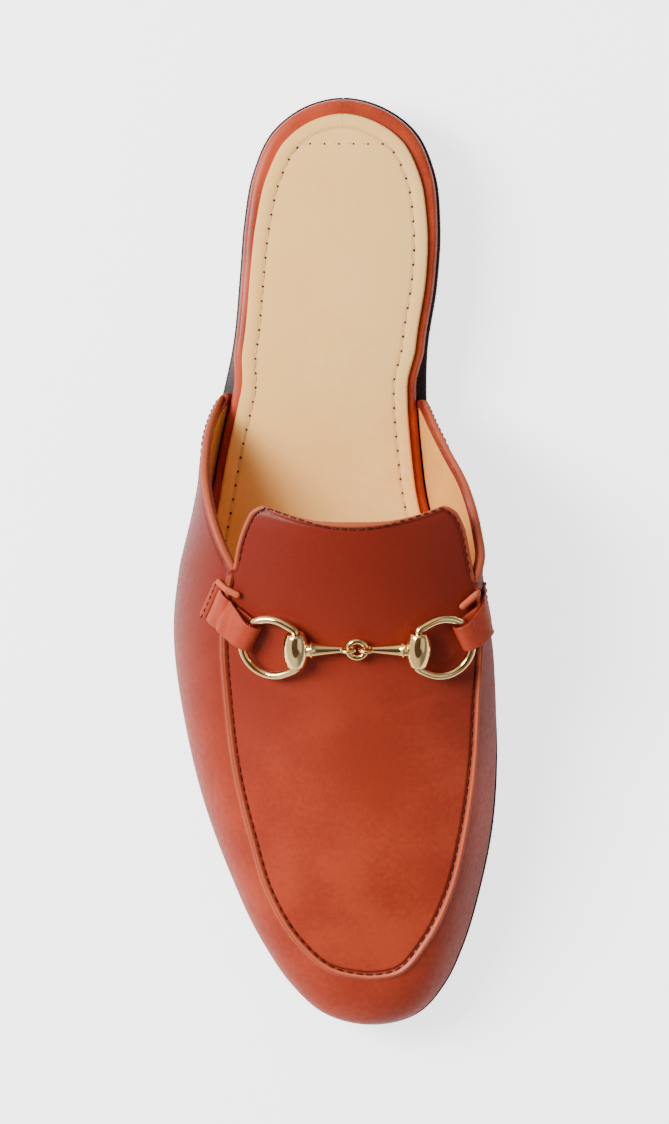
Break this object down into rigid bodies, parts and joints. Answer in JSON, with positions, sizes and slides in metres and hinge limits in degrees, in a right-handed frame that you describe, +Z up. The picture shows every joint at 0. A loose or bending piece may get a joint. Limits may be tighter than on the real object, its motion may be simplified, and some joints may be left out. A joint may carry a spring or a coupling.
{
  "type": "loafer mule",
  "caption": "Backless slip-on loafer for the right foot: one hollow moc-toe leather upper with open quarters, snaffle bit, wrapped insole board, outsole and low heel.",
  "frame": {"origin": "on the floor, under the middle of the shoe's bounding box", "axes": "+Y from heel to toe, +X to the outer (lateral) side of a right foot, +Z up"},
  "size_m": [0.0894, 0.258, 0.0704],
  "materials": {
    "upper_leather": "smooth cognac calf, soft gloss",
    "rand_leather": "smooth cognac leather wrapped over the board's edge",
    "sock_leather": "natural tan leather, matt",
    "sole_leather": "dark brown dressed edge",
    "heel_rubber": "matt black-brown rubber",
    "bit_metal": "polished pale gold plating"
  },
  "bodies": {
    "root": {"outsole": "sole_leather", "heel_stack": "sole_leather", "heel_top_lift": "heel_rubber", "insole_board": "rand_leather", "sock_liner": "sock_leather", "upper": "upper_leather", "strap_lateral": "upper_leather", "strap_medial": "upper_leather", "notch_bar_lateral": "upper_leather", "notch_bar_medial": "upper_leather", "ring_lateral": "bit_metal", "ring_medial": "bit_metal", "mouthpiece_lateral": "bit_metal", "mouthpiece_medial": "bit_metal", "centre_link": "bit_metal"}
  },
  "joints": []
}
